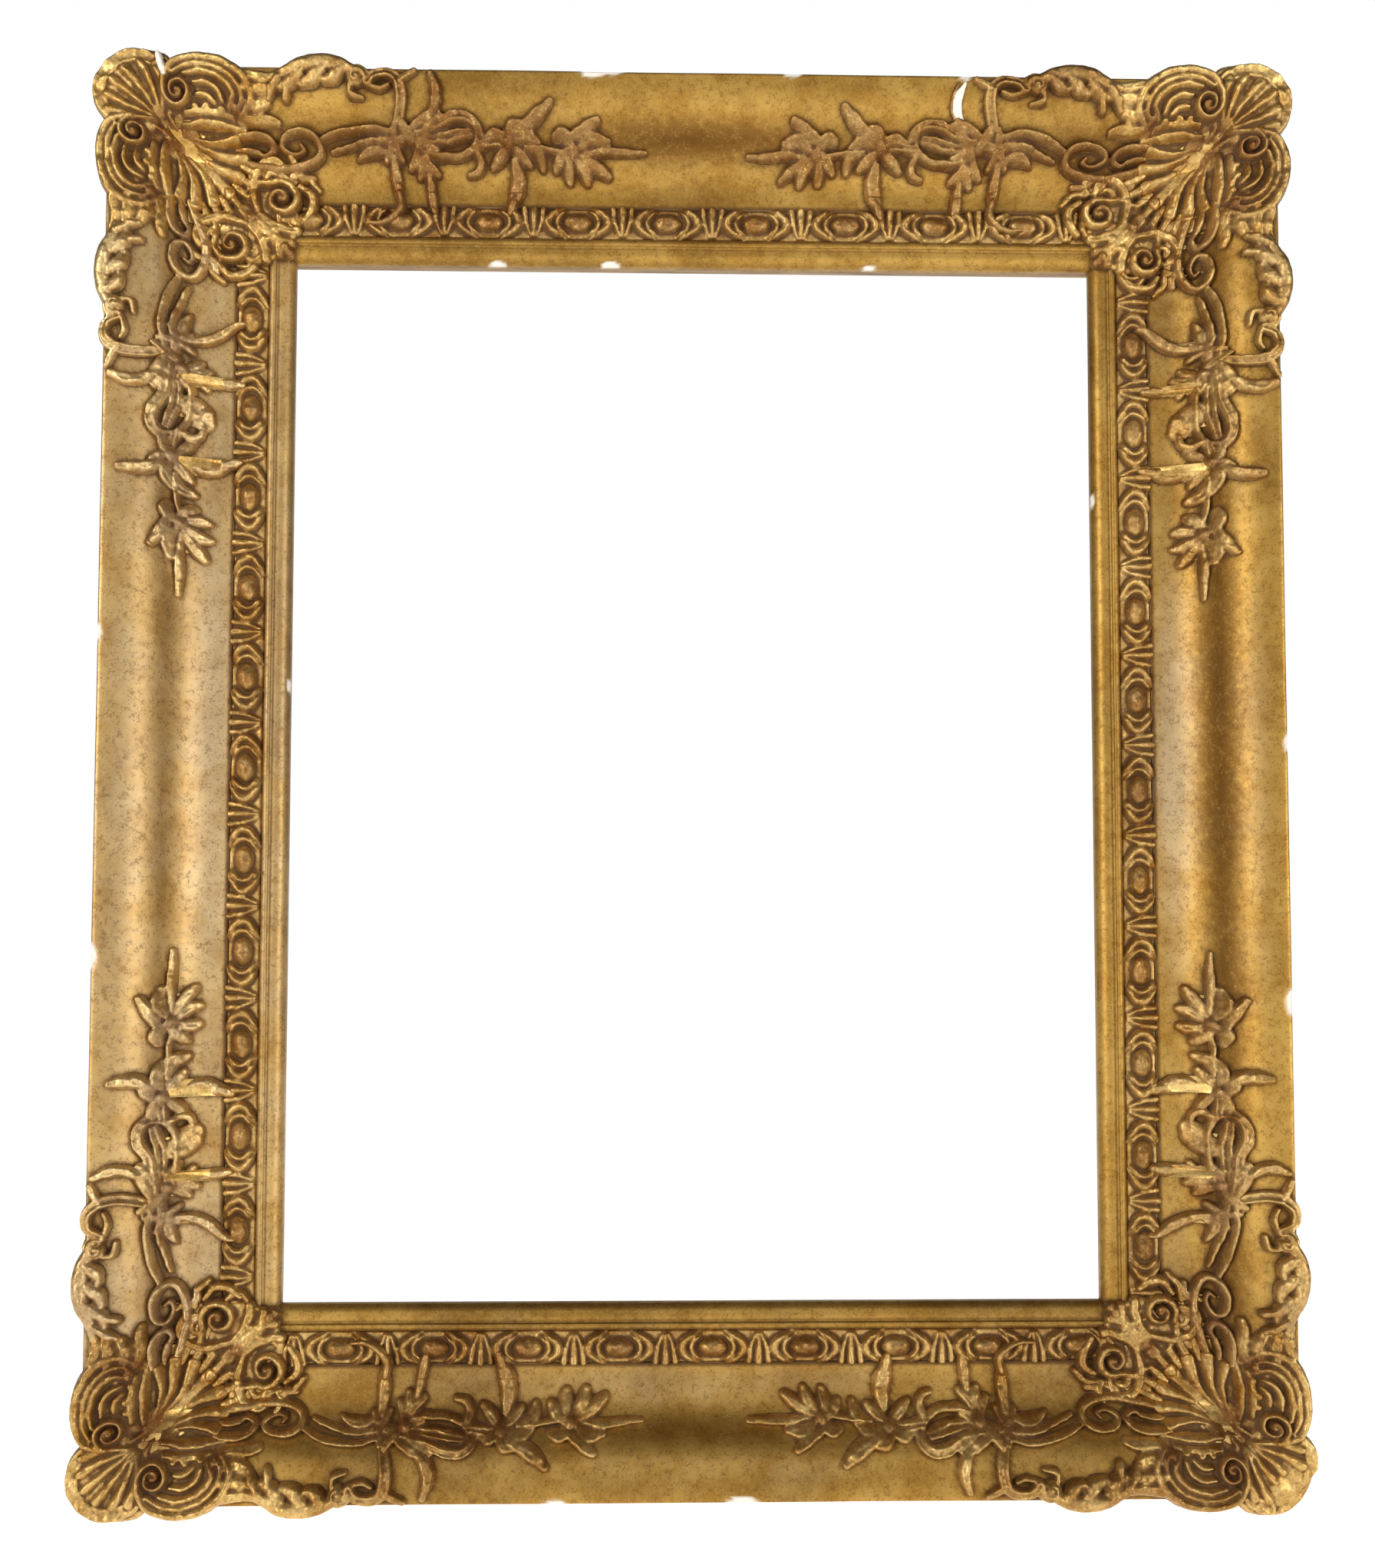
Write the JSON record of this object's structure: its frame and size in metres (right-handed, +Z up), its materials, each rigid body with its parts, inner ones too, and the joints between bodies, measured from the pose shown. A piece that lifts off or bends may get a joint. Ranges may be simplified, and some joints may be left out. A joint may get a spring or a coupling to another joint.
{
  "type": "picture frame",
  "caption": "Deep gilt picture frame with an ogee face, carved shell corners, floral sprays, egg and dart and a rebate for a canvas.",
  "frame": {"origin": "centre of the sight opening, on the back plane of the rails", "axes": "+X to the right seen from the front, +Z up, the front faces -Y and the wall is on +Y"},
  "size_m": [0.795, 0.0992, 0.951],
  "materials": {
    "rail_wood": "gilt face over softwood, bare at the back",
    "slip_gilt": "satin gilt",
    "ornament_gilt": "worn gilt composition",
    "key_wood": "bare",
    "fitting_steel": "zinc plated"
  },
  "bodies": {
    "frame": {"bottom_egg_and_dart": "ornament_gilt", "bottom_rail": "rail_wood", "bottom_sight_slip": "slip_gilt", "corner_shell_lower_left": "ornament_gilt", "corner_shell_lower_right": "ornament_gilt", "corner_shell_upper_left": "ornament_gilt", "corner_shell_upper_right": "ornament_gilt", "edge_scroll_bottom_left": "ornament_gilt", "edge_scroll_bottom_right": "ornament_gilt", "edge_scroll_left_bottom": "ornament_gilt", "edge_scroll_left_top": "ornament_gilt", "edge_scroll_right_bottom": "ornament_gilt", "edge_scroll_right_top": "ornament_gilt", "edge_scroll_top_left": "ornament_gilt", "edge_scroll_top_right": "ornament_gilt", "floral_spray_bottom_left": "ornament_gilt", "floral_spray_bottom_right": "ornament_gilt", "floral_spray_left_bottom": "ornament_gilt", "floral_spray_left_top": "ornament_gilt", "floral_spray_right_bottom": "ornament_gilt", "floral_spray_right_top": "ornament_gilt", "floral_spray_top_left": "ornament_gilt", "floral_spray_top_right": "ornament_gilt", "hanger_plates": "fitting_steel", "hanger_screws": "fitting_steel", "left_egg_and_dart": "ornament_gilt", "left_rail": "rail_wood", "left_sight_slip": "slip_gilt", "mitre_keys": "key_wood", "right_egg_and_dart": "ornament_gilt", "right_rail": "rail_wood", "right_sight_slip": "slip_gilt", "sight_scroll_lower_left": "ornament_gilt", "sight_scroll_lower_right": "ornament_gilt", "sight_scroll_upper_left": "ornament_gilt", "sight_scroll_upper_right": "ornament_gilt", "top_egg_and_dart": "ornament_gilt", "top_rail": "rail_wood", "top_sight_slip": "slip_gilt", "turn_button_screws": "fitting_steel"},
    "ring_left": {"hanging_ring_left": "fitting_steel"},
    "ring_right": {"hanging_ring_right": "fitting_steel"},
    "button_upper_right": {"turn_button_upper_right": "fitting_steel"},
    "button_lower_right": {"turn_button_lower_right": "fitting_steel"},
    "button_lower_left": {"turn_button_lower_left": "fitting_steel"},
    "button_upper_left": {"turn_button_upper_left": "fitting_steel"}
  },
  "joints": [
    {"name": "ring_left_swing", "type": "hinge", "parent": "frame", "child": "ring_left", "pos_m": [-0.3085, 0.0033, 0.156], "axis": [0, 0, 1], "range_deg": [0, 170]},
    {"name": "ring_right_swing", "type": "hinge", "parent": "frame", "child": "ring_right", "pos_m": [0.3085, 0.0033, 0.156], "axis": [0, 0, -1], "range_deg": [0, 170]},
    {"name": "button_upper_right_turn", "type": "hinge", "parent": "frame", "child": "button_upper_right", "pos_m": [0.2915, 0.001, 0.236], "axis": [0, 1, 0], "continuous": true},
    {"name": "button_lower_right_turn", "type": "hinge", "parent": "frame", "child": "button_lower_right", "pos_m": [0.2915, 0.001, -0.236], "axis": [0, 1, 0], "continuous": true},
    {"name": "button_lower_left_turn", "type": "hinge", "parent": "frame", "child": "button_lower_left", "pos_m": [-0.2915, 0.001, -0.236], "axis": [0, 1, 0], "continuous": true},
    {"name": "button_upper_left_turn", "type": "hinge", "parent": "frame", "child": "button_upper_left", "pos_m": [-0.2915, 0.001, 0.236], "axis": [0, 1, 0], "continuous": true}
  ]
}
